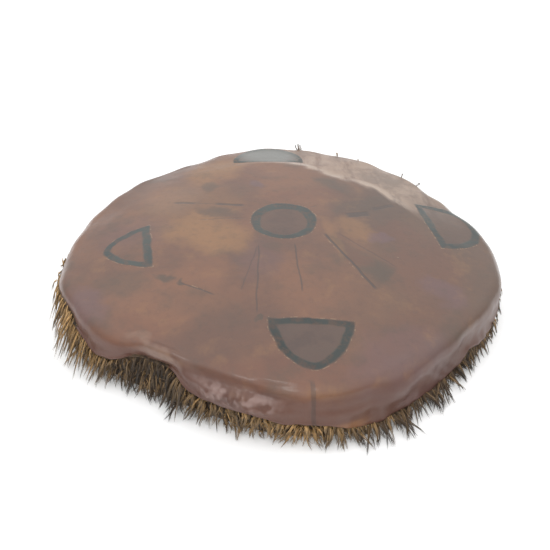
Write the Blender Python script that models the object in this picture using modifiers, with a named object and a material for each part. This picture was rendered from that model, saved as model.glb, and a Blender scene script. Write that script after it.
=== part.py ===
"""Hand-made frame drum: a hide drawn over a bent-wood hoop and laced to a grip ring in the middle of its back.

Metres, +Z up. The drum rests head up on its folded hem at z = 0. The origin is under the middle of its outline.
"""

import math

import bmesh
import bpy
from mathutils import Matrix, Vector

# Gap left between pieces that touch.
GAP = 0.0003

# Outline. The hoop was bent by eye, so it is a circle with a few shallow waves in it.
MEAN_RADIUS = 0.225
OUTLINE_WAVES = (  # waves in one turn, depth as a share of the radius, bearing of a crest in degrees
    (2, 0.007, 22),
    (3, 0.025, -40),
    (4, 0.016, 3),
    (5, 0.016, -11),
    (6, 0.010, -19),
)
ROUND_STEPS = 72

# Hide: one skin, which forms the domed head, the soft edge, the skirt and the hem folded under the hoop.
HIDE_THICKNESS = 0.002
HEAD_HEIGHT = 0.067
DOME_RISE = 0.016
DOME_POWER = 2.5
HEAD_RINGS = (0.0, 0.05, 0.10, 0.145, 0.18)
EDGE_RADIUS = 0.015
EDGE_STEPS = 4
SKIRT_LEAN = 0.0025
FOOT_RADIUS = 0.005
FOOT_STEPS = 2
REST_WIDTH = 0.0135
HEM_WIDTH = 0.026
HEM_LIFT = 0.010

# Hair left on the skin along the foot of the skirt.
HAIR_TOP = 0.0205
HAIR_REACH = 0.0155
HAIR_TIP_HEIGHT = 0.005
HAIR_CLEARANCE = 0.001

# Hoop: a bent strip whose ends are scarfed over each other and pegged.
HOOP_THICKNESS = 0.0127
HOOP_ROUNDING = 0.002
SCARF_BEARING = 100.0
SCARF_TURN = 24.0
SCARF_STEPS = 12
SCARF_OVERRUN = 0.003
KERF = 0.0004
PEG_RADIUS = 0.0025
PEG_SIDES = 16
PEG_INSET = 0.0008
PEG_PLACES = ((-5.0, 0.012), (0.0, 0.024), (5.0, 0.036))  # bearing from the scarf's middle, height

# Lacing slots in the hem, evenly spaced, with one thong from each.
THONG_COUNT = 16
THONGS_IN_GROUP = 4
FIRST_SLOT_BEARING = 11.25
SLOT_RADIUS = 0.188
SLOT_WIDTH = 0.008
SLOT_DEPTH = 0.005
SLOT_CUT_HEIGHT = 0.020

# Lacing thongs, rolled from rawhide. Each is hitched to the ring and ends in a stopper knot over its slot.
THONG_RADIUS = 0.0016
THONG_LOW = 0.0045
THONG_BEND = 0.003
BEND_STEPS = 2
HITCH_SPACING = 13.5
HITCH_TURNS = 0.92
HITCH_STEPS = 11
HITCH_DRIFT = 7.0
KNOT_HEIGHT = 0.0105
KNOT_RADIUS = 0.0036
KNOT_RISE = 0.0038
KNOT_TURN = 300.0
KNOT_STEPS = 8

# Grip ring.
RING_RADIUS = 0.032
RING_TUBE = 0.006
RING_HEIGHT = 0.0127
RING_STEPS = 40
RING_TUBE_STEPS = 10

HITCH_RADIUS = RING_TUBE + 2 * GAP + THONG_RADIUS
EDGE_CENTRE_RADIUS = MEAN_RADIUS - EDGE_RADIUS
FOOT_CENTRE_RADIUS = MEAN_RADIUS - SKIRT_LEAN - FOOT_RADIUS


def roundness(bearing):
    """How far out the drum's outline is at a bearing in radians, as a share of its mean radius."""
    share = 1.0
    for waves, depth, crest in OUTLINE_WAVES:
        share += depth * math.cos(waves * (bearing - math.radians(crest)))
    return share


def outline_middle():
    """The middle of the box round the outermost line of the drum, which becomes the origin."""
    outermost = MEAN_RADIUS + HAIR_REACH
    line = []
    for step in range(ROUND_STEPS):
        bearing = 2 * math.pi * step / ROUND_STEPS
        reach = outermost * roundness(bearing)
        line.append((reach * math.cos(bearing), reach * math.sin(bearing)))
    xs = [point[0] for point in line]
    ys = [point[1] for point in line]
    return Vector(((min(xs) + max(xs)) / 2, (min(ys) + max(ys)) / 2, 0.0))


MIDDLE = outline_middle()


def place(radius, bearing, height, follows_outline=1.0):
    """A point at a mean radius and a bearing in degrees. follows_outline is 0 for a true circle."""
    angle = math.radians(bearing)
    reach = radius * (1.0 + follows_outline * (roundness(angle) - 1.0))
    return Vector((reach * math.cos(angle), reach * math.sin(angle), height)) - MIDDLE


def arc(centre, radius, start, end, steps):
    """Points on an arc in the radius-height plane, angles in degrees from straight outwards."""
    points = []
    for step in range(steps + 1):
        angle = math.radians(start + (end - start) * step / steps)
        points.append((centre[0] + radius * math.cos(angle), centre[1] + radius * math.sin(angle)))
    return points


def dome_height(radius):
    """Height of the head's outer face at a mean radius."""
    return HEAD_HEIGHT - DOME_RISE * (radius / MEAN_RADIUS) ** DOME_POWER


EDGE_CENTRE_HEIGHT = dome_height(EDGE_CENTRE_RADIUS) - EDGE_RADIUS


def material(name, colour, roughness):
    """A plain material in the piece's own colour."""
    made = bpy.data.materials.new(name)
    made.use_nodes = True
    shader = made.node_tree.nodes["Principled BSDF"]
    shader.inputs["Base Color"].default_value = (*colour, 1.0)
    shader.inputs["Roughness"].default_value = roughness
    return made


def clear_scene():
    """Remove whatever the file opened with."""
    for old in list(bpy.data.objects):
        bpy.data.objects.remove(old, do_unlink=True)


def new_collection(name):
    """A collection linked to the scene."""
    made = bpy.data.collections.new(name)
    bpy.context.scene.collection.children.link(made)
    return made


def add_object(name, mesh, collection):
    """An object for a mesh, in a collection."""
    made = bpy.data.objects.new(name, mesh)
    collection.objects.link(made)
    return made


def evaluated_mesh(thing):
    """The mesh that an object's curve and modifiers make, in world space."""
    bpy.context.view_layer.update()
    graph = bpy.context.evaluated_depsgraph_get()
    mesh = bpy.data.meshes.new_from_object(thing.evaluated_get(graph))
    mesh.transform(thing.matrix_world)
    return mesh


def turned(name, profile, closed, collection):
    """A profile turned about Z, then eased out to the drum's outline and moved to the origin."""
    mesh = bpy.data.meshes.new(name)
    edges = [(index, index + 1) for index in range(len(profile) - 1)]
    if closed:
        edges.append((len(profile) - 1, 0))
    mesh.from_pydata([(radius, 0.0, height) for radius, height in profile], edges, [])
    blank = add_object(name + "_profile", mesh, collection)
    screw = blank.modifiers.new("Turn", "SCREW")
    screw.steps = ROUND_STEPS
    screw.render_steps = ROUND_STEPS
    screw.use_merge_vertices = True
    screw.merge_threshold = 0.00005
    turned_mesh = evaluated_mesh(blank)
    bpy.data.objects.remove(blank, do_unlink=True)
    for vertex in turned_mesh.vertices:
        share = roundness(math.atan2(vertex.co.y, vertex.co.x))
        vertex.co.x = vertex.co.x * share - MIDDLE.x
        vertex.co.y = vertex.co.y * share - MIDDLE.y
    turned_mesh.name = name
    return add_object(name, turned_mesh, collection)


def finish_piece(piece, look):
    """Give a piece its material and smooth shading, with its hard edges kept."""
    piece.data.materials.clear()
    piece.data.materials.append(look)
    piece.data.shade_smooth()
    piece.data.set_sharp_from_angle(angle=math.radians(35))


def cut(piece, cutter):
    """Subtract a cutter from a piece."""
    boolean = piece.modifiers.new("Cut " + cutter.name, "BOOLEAN")
    boolean.operation = "DIFFERENCE"
    boolean.solver = "EXACT"
    boolean.object = cutter


def hide_cutter(cutter):
    """Show a cutter as wire only."""
    cutter.hide_render = True
    cutter.display_type = "WIRE"


def box_at(cutter_mesh, size, where, bearing):
    """Add a box to a mesh under construction, turned to face a bearing in degrees."""
    matrix = Matrix.Translation(where) @ Matrix.Rotation(math.radians(bearing), 4, "Z")
    bmesh.ops.create_cube(cutter_mesh, size=1.0, matrix=matrix @ Matrix.Diagonal((*size, 1.0)))


def slot_bearing(number):
    """The bearing of a lacing slot in degrees."""
    return FIRST_SLOT_BEARING + 360.0 * number / THONG_COUNT


def hitch_bearing(number):
    """The bearing on the ring where a thong is hitched. The thongs gather in groups there."""
    first = number - number % THONGS_IN_GROUP
    middle = (slot_bearing(first) + slot_bearing(first + THONGS_IN_GROUP - 1)) / 2
    return middle + HITCH_SPACING * (number % THONGS_IN_GROUP - (THONGS_IN_GROUP - 1) / 2)


def hide_profile():
    """The hide's outer face, from the middle of the head out, down the skirt and in to the edge of the hem."""
    points = [(radius, dome_height(radius)) for radius in HEAD_RINGS]
    points += arc((EDGE_CENTRE_RADIUS, EDGE_CENTRE_HEIGHT), EDGE_RADIUS, 90.0, 0.0, EDGE_STEPS)
    skirt_share = (EDGE_CENTRE_HEIGHT - HAIR_TOP) / (EDGE_CENTRE_HEIGHT - FOOT_RADIUS)
    points.append((MEAN_RADIUS - SKIRT_LEAN * skirt_share, HAIR_TOP))
    points += arc((FOOT_CENTRE_RADIUS, FOOT_RADIUS), FOOT_RADIUS, 0.0, -90.0, FOOT_STEPS)
    points.append((FOOT_CENTRE_RADIUS - REST_WIDTH, 0.0))
    points.append((FOOT_CENTRE_RADIUS - REST_WIDTH - HEM_WIDTH, HEM_LIFT))
    return points


def make_slot_cutter(collection):
    """One cutter with a box for each lacing slot."""
    boxes = bmesh.new()
    for number in range(THONG_COUNT):
        bearing = slot_bearing(number)
        where = place(SLOT_RADIUS, bearing, THONG_LOW)
        box_at(boxes, (SLOT_DEPTH, SLOT_WIDTH, SLOT_CUT_HEIGHT), where, bearing)
    mesh = bpy.data.meshes.new("slot_cutter")
    boxes.to_mesh(mesh)
    boxes.free()
    cutter = add_object("slot_cutter", mesh, collection)
    hide_cutter(cutter)
    return cutter


def make_hide(parts, cutters):
    """The skin: head, edge, skirt and slotted hem."""
    hide = turned("head_hide", hide_profile(), False, parts)
    thickness = hide.modifiers.new("Skin", "SOLIDIFY")
    thickness.thickness = HIDE_THICKNESS
    thickness.offset = -1.0
    thickness.use_even_offset = True
    cut(hide, make_slot_cutter(cutters))
    finish_piece(hide, material("hide", (0.22, 0.09, 0.045), 0.35))


def make_hair_margin(parts):
    """The space that the hair along the foot of the skirt fills."""
    inner = MEAN_RADIUS + GAP
    outer = MEAN_RADIUS + HAIR_REACH
    profile = [
        (inner, HAIR_TOP),
        (outer, HAIR_TIP_HEIGHT),
        (outer, HAIR_CLEARANCE),
        (inner, HAIR_CLEARANCE),
    ]
    hair = turned("hair_margin", profile, True, parts)
    finish_piece(hair, material("hair", (0.16, 0.09, 0.045), 0.7))


def hoop_profile():
    """The hoop's section: a strip on edge, its outer top corner rounded off under the hide."""
    skin = HIDE_THICKNESS + GAP
    inner = MEAN_RADIUS - skin - HOOP_THICKNESS
    first = 90.0 - 90.0 / EDGE_STEPS
    points = arc((EDGE_CENTRE_RADIUS, EDGE_CENTRE_HEIGHT), EDGE_RADIUS - skin, first, 0.0, EDGE_STEPS - 1)
    top = points[0][1]
    points += arc((FOOT_CENTRE_RADIUS, FOOT_RADIUS), FOOT_RADIUS - skin, 0.0, -90.0, FOOT_STEPS)
    points.append((inner + HOOP_ROUNDING, skin))
    points.append((inner, skin + HOOP_ROUNDING))
    points.append((inner, top - HOOP_ROUNDING))
    points.append((inner + HOOP_ROUNDING, top))
    return points


def make_scarf_cutter(collection):
    """A thin upright sheet that spirals from the hoop's outer face to its inner face: the scarf joint's glue line."""
    outer = MEAN_RADIUS - HIDE_THICKNESS + SCARF_OVERRUN
    inner = MEAN_RADIUS - HIDE_THICKNESS - HOOP_THICKNESS - SCARF_OVERRUN
    sheet = bmesh.new()
    line = []
    for step in range(SCARF_STEPS + 1):
        share = step / SCARF_STEPS
        bearing = SCARF_BEARING + SCARF_TURN * (share - 0.5)
        line.append(sheet.verts.new(place(outer + (inner - outer) * share, bearing, -SCARF_OVERRUN)))
    edges = [sheet.edges.new(pair) for pair in zip(line, line[1:])]
    raised = bmesh.ops.extrude_edge_only(sheet, edges=edges)
    tops = [item for item in raised["geom"] if isinstance(item, bmesh.types.BMVert)]
    bmesh.ops.translate(sheet, verts=tops, vec=(0.0, 0.0, HEAD_HEIGHT + 2 * SCARF_OVERRUN))
    mesh = bpy.data.meshes.new("scarf_cutter")
    sheet.to_mesh(mesh)
    sheet.free()
    cutter = add_object("scarf_cutter", mesh, collection)
    kerf = cutter.modifiers.new("Kerf", "SOLIDIFY")
    kerf.thickness = KERF
    kerf.offset = 0.0
    hide_cutter(cutter)
    return cutter


def radial_cylinder(name, radius, inner, outer, bearing, height, collection):
    """A cylinder that lies along a bearing in degrees, from one distance from the middle to another."""
    middle = place((inner + outer) / 2, bearing, height)
    turn = Matrix.Rotation(math.radians(bearing), 4, "Z") @ Matrix.Rotation(math.radians(90), 4, "Y")
    shape = bmesh.new()
    bmesh.ops.create_cone(
        shape,
        cap_ends=True,
        segments=PEG_SIDES,
        radius1=radius,
        radius2=radius,
        depth=outer - inner,
        matrix=Matrix.Translation(middle) @ turn,
    )
    mesh = bpy.data.meshes.new(name)
    shape.to_mesh(mesh)
    shape.free()
    return add_object(name, mesh, collection)


def make_hoop(parts, cutters):
    """The bent-wood hoop, with its scarf joint and the pegs through it."""
    hoop = turned("hoop", hoop_profile(), True, parts)
    cut(hoop, make_scarf_cutter(cutters))
    wood = material("wood", (0.42, 0.27, 0.14), 0.6)
    outer = MEAN_RADIUS - SKIRT_LEAN - HIDE_THICKNESS - PEG_INSET
    inner = MEAN_RADIUS - HIDE_THICKNESS - HOOP_THICKNESS - PEG_INSET
    for number, (offset, height) in enumerate(PEG_PLACES, start=1):
        bearing = SCARF_BEARING + offset
        peg = radial_cylinder(f"treenail_{number}", PEG_RADIUS, inner, outer, bearing, height, parts)
        finish_piece(peg, material(f"treenail_{number}", (0.30, 0.18, 0.09), 0.6))
        drill = radial_cylinder(
            f"drill_{number}",
            PEG_RADIUS + GAP,
            inner - SCARF_OVERRUN,
            outer + SCARF_OVERRUN,
            bearing,
            height,
            cutters,
        )
        hide_cutter(drill)
        cut(hoop, drill)
    finish_piece(hoop, wood)


def make_grip_ring(parts):
    """The ring that the thongs are hitched to and the hand holds."""
    bpy.ops.mesh.primitive_torus_add(
        major_radius=RING_RADIUS,
        minor_radius=RING_TUBE,
        major_segments=RING_STEPS,
        minor_segments=RING_TUBE_STEPS,
        location=place(0.0, 0.0, RING_HEIGHT),
    )
    ring = bpy.context.object
    ring.name = "grip_ring"
    for holder in list(ring.users_collection):
        holder.objects.unlink(ring)
    parts.objects.link(ring)
    finish_piece(ring, material("grip", (0.25, 0.12, 0.06), 0.6))


def hitch_points(bearing):
    """A hitch round the grip ring, from its tucked end to where the thong leaves under the ring."""
    points = []
    for step in range(HITCH_STEPS + 1):
        left = 1.0 - step / HITCH_STEPS
        angle = math.radians(-90.0 - 360.0 * HITCH_TURNS * left)
        radius = RING_RADIUS + HITCH_RADIUS * math.cos(angle)
        height = RING_HEIGHT + HITCH_RADIUS * math.sin(angle)
        points.append(place(radius, bearing - HITCH_DRIFT * left, height, 0.0))
    return points


def slot_points(slot, towards_ring):
    """The thong's bend from its run under the hem to straight up through the slot."""
    points = []
    for along, height in arc((THONG_BEND, THONG_LOW + THONG_BEND), THONG_BEND, -90.0, -180.0, BEND_STEPS):
        points.append(slot + along * towards_ring + Vector((0.0, 0.0, height)))
    return points


def knot_points(slot, bearing):
    """A stopper knot: the thong turns over and winds down round itself onto the sloping hem."""
    slope = HEM_LIFT / HEM_WIDTH
    outward = place(1.0, bearing, 0.0, 0.0) - place(0.0, bearing, 0.0, 0.0)
    top = slot + Vector((0.0, 0.0, KNOT_HEIGHT + KNOT_RISE - KNOT_RADIUS / 2))
    points = [top]
    for step in range(KNOT_STEPS + 1):
        share = step / KNOT_STEPS
        turn = Matrix.Rotation(math.radians(KNOT_TURN * share), 3, "Z")
        arm = KNOT_RADIUS * (turn @ outward)
        height = KNOT_HEIGHT + KNOT_RISE * (1.0 - share) - slope * arm.dot(outward)
        points.append(slot + arm + Vector((0.0, 0.0, height)))
    return points


def make_thongs(parts):
    """The thongs, each from its hitch on the ring, out under the hem and up through a slot to its knot."""
    for number in range(THONG_COUNT):
        name = f"lacing_thong_{number + 1:02d}"
        hitch = hitch_points(hitch_bearing(number))
        slot = place(SLOT_RADIUS, slot_bearing(number), 0.0)
        leaves = Vector((hitch[-1].x, hitch[-1].y, 0.0))
        path = hitch + slot_points(slot, (leaves - slot).normalized()) + knot_points(slot, slot_bearing(number))
        curve = bpy.data.curves.new(name, "CURVE")
        curve.dimensions = "3D"
        curve.bevel_depth = THONG_RADIUS
        curve.bevel_resolution = 2
        curve.use_fill_caps = True
        spline = curve.splines.new("POLY")
        spline.points.add(len(path) - 1)
        for point, where in zip(spline.points, path):
            point.co = (*where, 1.0)
        parts.objects.link(bpy.data.objects.new(name, curve))
        curve.materials.append(material(name, (0.45, 0.30, 0.17), 0.55))


def main():
    """Build the drum."""
    clear_scene()
    parts = new_collection("frame_drum")
    cutters = new_collection("cutters")
    make_hide(parts, cutters)
    make_hair_margin(parts)
    make_hoop(parts, cutters)
    make_grip_ring(parts)
    make_thongs(parts)


main()
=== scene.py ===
"""The looks of a hand-made frame drum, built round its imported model: hide, hair, paint, wood and lacing."""

import math

import bpy
import numpy as np
from mathutils import Matrix, Vector


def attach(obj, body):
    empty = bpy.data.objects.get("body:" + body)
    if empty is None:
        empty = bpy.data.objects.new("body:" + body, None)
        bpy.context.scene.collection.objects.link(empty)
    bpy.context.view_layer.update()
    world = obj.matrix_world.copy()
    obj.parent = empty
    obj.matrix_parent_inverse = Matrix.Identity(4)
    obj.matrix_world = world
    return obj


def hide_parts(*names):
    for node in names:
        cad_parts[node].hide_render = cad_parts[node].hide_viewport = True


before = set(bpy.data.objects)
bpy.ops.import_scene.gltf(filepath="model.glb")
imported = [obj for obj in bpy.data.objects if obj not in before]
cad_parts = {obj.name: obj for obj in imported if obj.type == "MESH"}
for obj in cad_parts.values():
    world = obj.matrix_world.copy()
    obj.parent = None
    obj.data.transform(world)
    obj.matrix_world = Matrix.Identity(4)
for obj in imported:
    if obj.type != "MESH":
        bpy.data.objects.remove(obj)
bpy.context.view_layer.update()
BODY = "root"
SEED = 20

# The drum's outline and section, in metres, as the frame has them.
MEAN_RADIUS = 0.225
OUTLINE_WAVES = (  # waves in one turn, depth as a share of the radius, bearing of a crest in degrees
    (2, 0.007, 22),
    (3, 0.025, -40),
    (4, 0.016, 3),
    (5, 0.016, -11),
    (6, 0.01, -19),
)
HAIR_REACH = 0.0155
HIDE_THICKNESS = 0.002
HEAD_HEIGHT = 0.067
DOME_RISE = 0.016
DOME_POWER = 2.5
EDGE_RADIUS = 0.015
SKIRT_LEAN = 0.0025
FOOT_RADIUS = 0.005
REST_WIDTH = 0.0135
HEM_WIDTH = 0.026
HEM_LIFT = 0.01
EDGE_CENTRE = MEAN_RADIUS - EDGE_RADIUS
FOOT_CENTRE = MEAN_RADIUS - SKIRT_LEAN - FOOT_RADIUS
HEM_EDGE = FOOT_CENTRE - REST_WIDTH - HEM_WIDTH
SLOT_COUNT = 16
FIRST_SLOT_BEARING = 11.25
SLOT_RADIUS = 0.188
SLOT_WIDTH = 0.008
SLOT_DEPTH = 0.005
HEM_SLOT_OUTER = SLOT_RADIUS + SLOT_DEPTH / 2
HEM_SLOT_INNER = SLOT_RADIUS - SLOT_DEPTH / 2
GAP = 0.0003
HOOP_THICKNESS = 0.0127
HOOP_ROUNDING = 0.002
HOOP_AROUND = 360
HOOP_TOP_TURN = 80.0  # how far the hoop's rounded outer corner reaches over, in degrees
HOOP_CORNER_RINGS = 7
HOOP_WALL_RINGS = 10
HOOP_FOOT = 0.008
HOOP_EDGE_ROOM = 0.0015
HOOP_DENT_ROOM = 0.0012
HOOP_LEAST = 0.004  # the hoop is never thinned below this
PEG_SHOWING = 0.0011  # how far the hoop's inner face is planed back, so that its pegs stand a little proud

# The rings of the hide's mesh, in metres.
AROUND = 864
OUTLINE_STEP = 5  # degrees
HEAD_STEP = 0.008
FINE_FROM = 0.15
FINE_STEP = 0.0025
EDGE_RINGS = 13
WALL_RINGS = 12
UNDER_HAIR_RINGS = 3
FOOT_RINGS = 5
RING_GAP = 0.0005
UNDER_HAIR_TOP = 0.0016  # how far below the hairline the wall under the hair starts
INNER_WALL_FOOT = 0.02
INNER_WALL_RINGS = 6
INNER_WALL_ROOM = 0.001
INNER_HEAD_RADII = (0.19, 0.16, 0.13, 0.09, 0.05, 0.015)

# The hide's finer form: bearings in degrees, everything else in metres.
WAVE_COUNT = 14
WAVE_LENGTHS = (0.7, 1.6)
HAIRLINE_WANDER = (0.0009, 0.03)  # depth and length of the waves, as in the four below
HEAD_RIPPLE = (0.0004, 0.07)
EDGE_PUCKER = (0.0004, 0.016)
EDGE_SWELL = (0.0009, 0.055)
SCUFF_FOLD = (0.0026, 0.009)
FOLD_FLOOR = -0.3  # folds stand out more than they sink in
CALM_RADIUS = 0.1  # the ripples grow from here out
CALM_FADE = 0.11
CALM_SHARE = 0.35
EDGE_ZONE = 0.014
PUCKER_TOP = 0.05
PUCKER_FADE = 0.025
DENT_RADIUS = 0.205  # dents fade in from here out
DENT_FADE = 0.012
HAIRLINE = (  # bearing, height where the bare hide ends and its hair begins
    (-180, 0.041),
    (-166, 0.043),
    (-152, 0.047),
    (-146, 0.045),
    (-142, 0.034),
    (-138, 0.024),
    (-132, 0.029),
    (-127, 0.038),
    (-120, 0.042),
    (-114, 0.035),
    (-108, 0.0285),
    (-97, 0.029),
    (-88, 0.025),
    (-80, 0.023),
    (-74, 0.012),
    (-62, 0.012),
    (-50, 0.009),
    (-43, 0.014),
    (-39, 0.024),
    (-30, 0.017),
    (-20, 0.027),
    (-12, 0.036),
    (-2, 0.04),
    (14, 0.038),
    (40, 0.028),
    (90, 0.026),
    (140, 0.026),
    (168, 0.04),
)
LIP_FLARE = 0.0022
LIP = (  # how far past the skirt and below the hairline: the lip's lower corner, its root
    (LIP_FLARE * 0.8, 0.001),
    (-0.0005, 0.0011),
)
DENTS = (  # bearing, half width, height, half height, depth
    (-121, 6.8, 0.035, 0.015, 0.0105),
    (-102, 10.0, 0.049, 0.0045, 0.0048),
    (-100, 8.5, 0.037, 0.0075, -0.0034),
    (-83.5, 0.9, 0.038, 0.016, 0.0011),
    (-91, 5.0, 0.043, 0.007, 0.0026),
    (-76, 8.0, 0.042, 0.0085, 0.0034),
    (-64, 5.0, 0.033, 0.009, -0.0014),
    (-37, 7.0, 0.036, 0.011, 0.0026),
    (-151, 6.0, 0.038, 0.011, 0.0018),
    (-12, 9.0, 0.034, 0.011, 0.002),
    (35, 9.0, 0.034, 0.011, 0.0024),
    (118, 9.0, 0.042, 0.012, 0.003),
    (160, 7.0, 0.038, 0.01, 0.0022),
)
RIDGES = (  # bearing, half width, radius, half width across, rise
    (-120, 6.0, 0.213, 0.0045, 0.003),
    (-90, 5.5, 0.2085, 0.003, 0.0018),
    (-66, 8.0, 0.211, 0.004, 0.0008),
    (-40, 7.0, 0.206, 0.005, 0.0008),
)
CREASE_SOFTNESS = 0.002
BEVEL_WIDTH = 0.014
FACET_EDGE = 0.003
FACET_FAR = 0.7  # how strong the facet's painted glare stays away from its crease
FACET_HOLD = 1.6  # bevel widths that it keeps its full painted glare for
FACET_SLOPE = 0.12  # the slope that has the full painted glare
CREASE = (  # bearing, radius where the head breaks, slope beyond it, extra slope of the bevel along it
    (0, 0.165, 0.0, 0.0),
    (14, 0.155, 0.01, 0.03),
    (28, 0.147, 0.02, 0.11),
    (41, 0.143, 0.03, 0.13),
    (55, 0.133, 0.03, 0.12),
    (63, 0.128, 0.03, 0.13),
    (81, 0.145, 0.02, 0.12),
    (97, 0.154, 0.01, 0.06),
    (112, 0.16, 0.05, 0.0),
    (125, 0.165, 0.06, 0.0),
    (140, 0.17, 0.05, 0.0),
    (158, 0.18, 0.04, 0.0),
    (175, 0.188, 0.13, 0.0),
    (186, 0.19, 0.13, 0.0),
    (202, 0.195, 0.0, 0.0),
)
# The puckered patch on the front skirt: its folds stand out, and pale pinkish glints are painted on it as
# painted highlights.
PUCKER_PATCH = (-99.5, 8.5, 0.04, 0.0065)  # bearing, half width, height, half height
AMBER = (-76.0, 4.0, 0.015, 0.006)

# The painted pattern, in metres from its own centre, +Y towards the back.
PAINT_OFFSET = Vector((0.001, 0.0056, 0.0))
RING_CENTRE = (0.0, 0.002)
RING_INNER_DROP = 0.0025
RING_OUTER = 0.036
RING_INNER = 0.026
BAND = 0.008
RING_FILL = 0.6
RING_BAND = 0.3
LOBES = (  # middle of flat side, bearing it points along, half width, depth, roundness, fill, band strength
    ((0.0245, -0.15), -91.0, 0.0385, 0.055, 1.7, 0.78, 0.95),
    ((-0.1367, -0.0427), 193.0, 0.0365, 0.049, 1.6, 0.1, 0.2),
    ((0.16, 0.012), 6.5, 0.047, 0.056, 2.8, 0.38, 0.3),
    ((-0.02, 0.156), 92.0, 0.046, 0.056, 2.4, 0.78, 1.0),
)
VEIL = ((-0.022, 0.184), 0.076, 0.06, 0)  # a pale bloom over the far lobe: middle, length, width, turn
WEDGE = ((0.044, -0.02), (0.0885, -0.11), (0.113, -0.076))
STROKES = (  # start, end, width, strength
    ((-0.128, 0.0405), (-0.098, 0.038), 0.0044, 0.55),
    ((-0.08, 0.0355), (-0.042, 0.033), 0.0048, 0.65),
    ((-0.1, 0.0378), (-0.078, 0.0355), 0.0018, 0.35),
    ((-0.093, 0.002), (-0.04, 0.005), 0.0012, 0.45),
    ((-0.025, -0.044), (-0.024, -0.145), 0.0014, 0.6),
    ((-0.026, -0.046), (-0.039, -0.116), 0.0011, 0.45),
    ((0.011, -0.041), (0.018, -0.117), 0.0015, 0.65),
    ((0.0425, -0.02), (0.088, -0.11), 0.0026, 0.8),
    ((0.057, -0.02), (0.112, -0.075), 0.0018, 0.35),
    ((-0.098, -0.104), (-0.062, -0.122), 0.0017, 0.6),
    ((0.068, 0.015), (0.098, 0.023), 0.01, 0.7),
    ((0.099, 0.0325), (0.13, 0.047), 0.0062, 0.5),
    ((0.023, -0.213), (0.027, -0.245), 0.0036, 0.45),
    ((0.029, 0.03), (0.04, 0.036), 0.0014, 0.5),
)
SCRATCHES = (  # start, end, width
    ((0.04, -0.022), (0.0855, -0.111), 0.001),
    ((-0.096, 0.0005), (-0.045, 0.0035), 0.0008),
    ((-0.09, -0.1065), (-0.07, -0.117), 0.0009),
    ((0.0855, -0.111), (0.09, -0.112), 0.0012),
    ((0.108, -0.056), (0.1215, -0.06), 0.001),
)
STROKE_TAPER = 0.006
STROKE_SOFTNESS = 0.0006
SCRATCH_SOFTNESS = 0.0003

# Colours, in linear red, green and blue. Where there are two, a texture blends them.
SMOKE_AND_SHADE = (0.056, 0.033, 0.018)
TAN = (0.26, 0.12, 0.036)
PLUM = (0.105, 0.05, 0.054)
RUST = (0.125, 0.038, 0.016)
PALE = (0.4, 0.29, 0.215)
GROUND = ((0.102, 0.039, 0.019), (0.165, 0.063, 0.026))
SPECKS = (0.05, 0.022, 0.013)
SHADED_SKIRT = (0.096, 0.039, 0.029)
GLINT_TINT = (0.3, 0.2, 0.175)
AMBER_TINT = (0.25, 0.11, 0.04)
UNDER_HAIR = ((0.034, 0.022, 0.014), (0.11, 0.072, 0.04))
WORN_UNDER_HAIR = (0.15, 0.095, 0.058)
FLESH = ((0.25, 0.15, 0.078), (0.4, 0.27, 0.15))
FLESH_VEINS = (0.15, 0.08, 0.045)
FILL = ((0.03, 0.016, 0.013), (0.058, 0.031, 0.021))
THIN_BAND = ((0.014, 0.025, 0.023), (0.032, 0.042, 0.036))
THICK_BAND = ((0.006, 0.013, 0.012), (0.018, 0.024, 0.021))
BLOOM = (0.185, 0.195, 0.18)
STROKE_PAINT = (0.034, 0.02, 0.015)
SCORED = (0.36, 0.24, 0.14)
HAIR_ROOT = ((0.14, 0.095, 0.06), (0.72, 0.45, 0.195))
HAIR_TIP = ((0.05, 0.042, 0.036), (0.26, 0.18, 0.105))
SPLIT_WOOD = ((0.46, 0.3, 0.16), (0.27, 0.155, 0.075))
WHITTLED_WOOD = ((0.34, 0.21, 0.11), (0.19, 0.11, 0.055))
RAWHIDE = ((0.5, 0.35, 0.2), (0.28, 0.16, 0.08))
WORN_GRIP = ((0.3, 0.16, 0.085), (0.13, 0.065, 0.035))
WHITE_FLOOR = ((0.9, 0.9, 0.9), (0.93, 0.93, 0.93))

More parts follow.
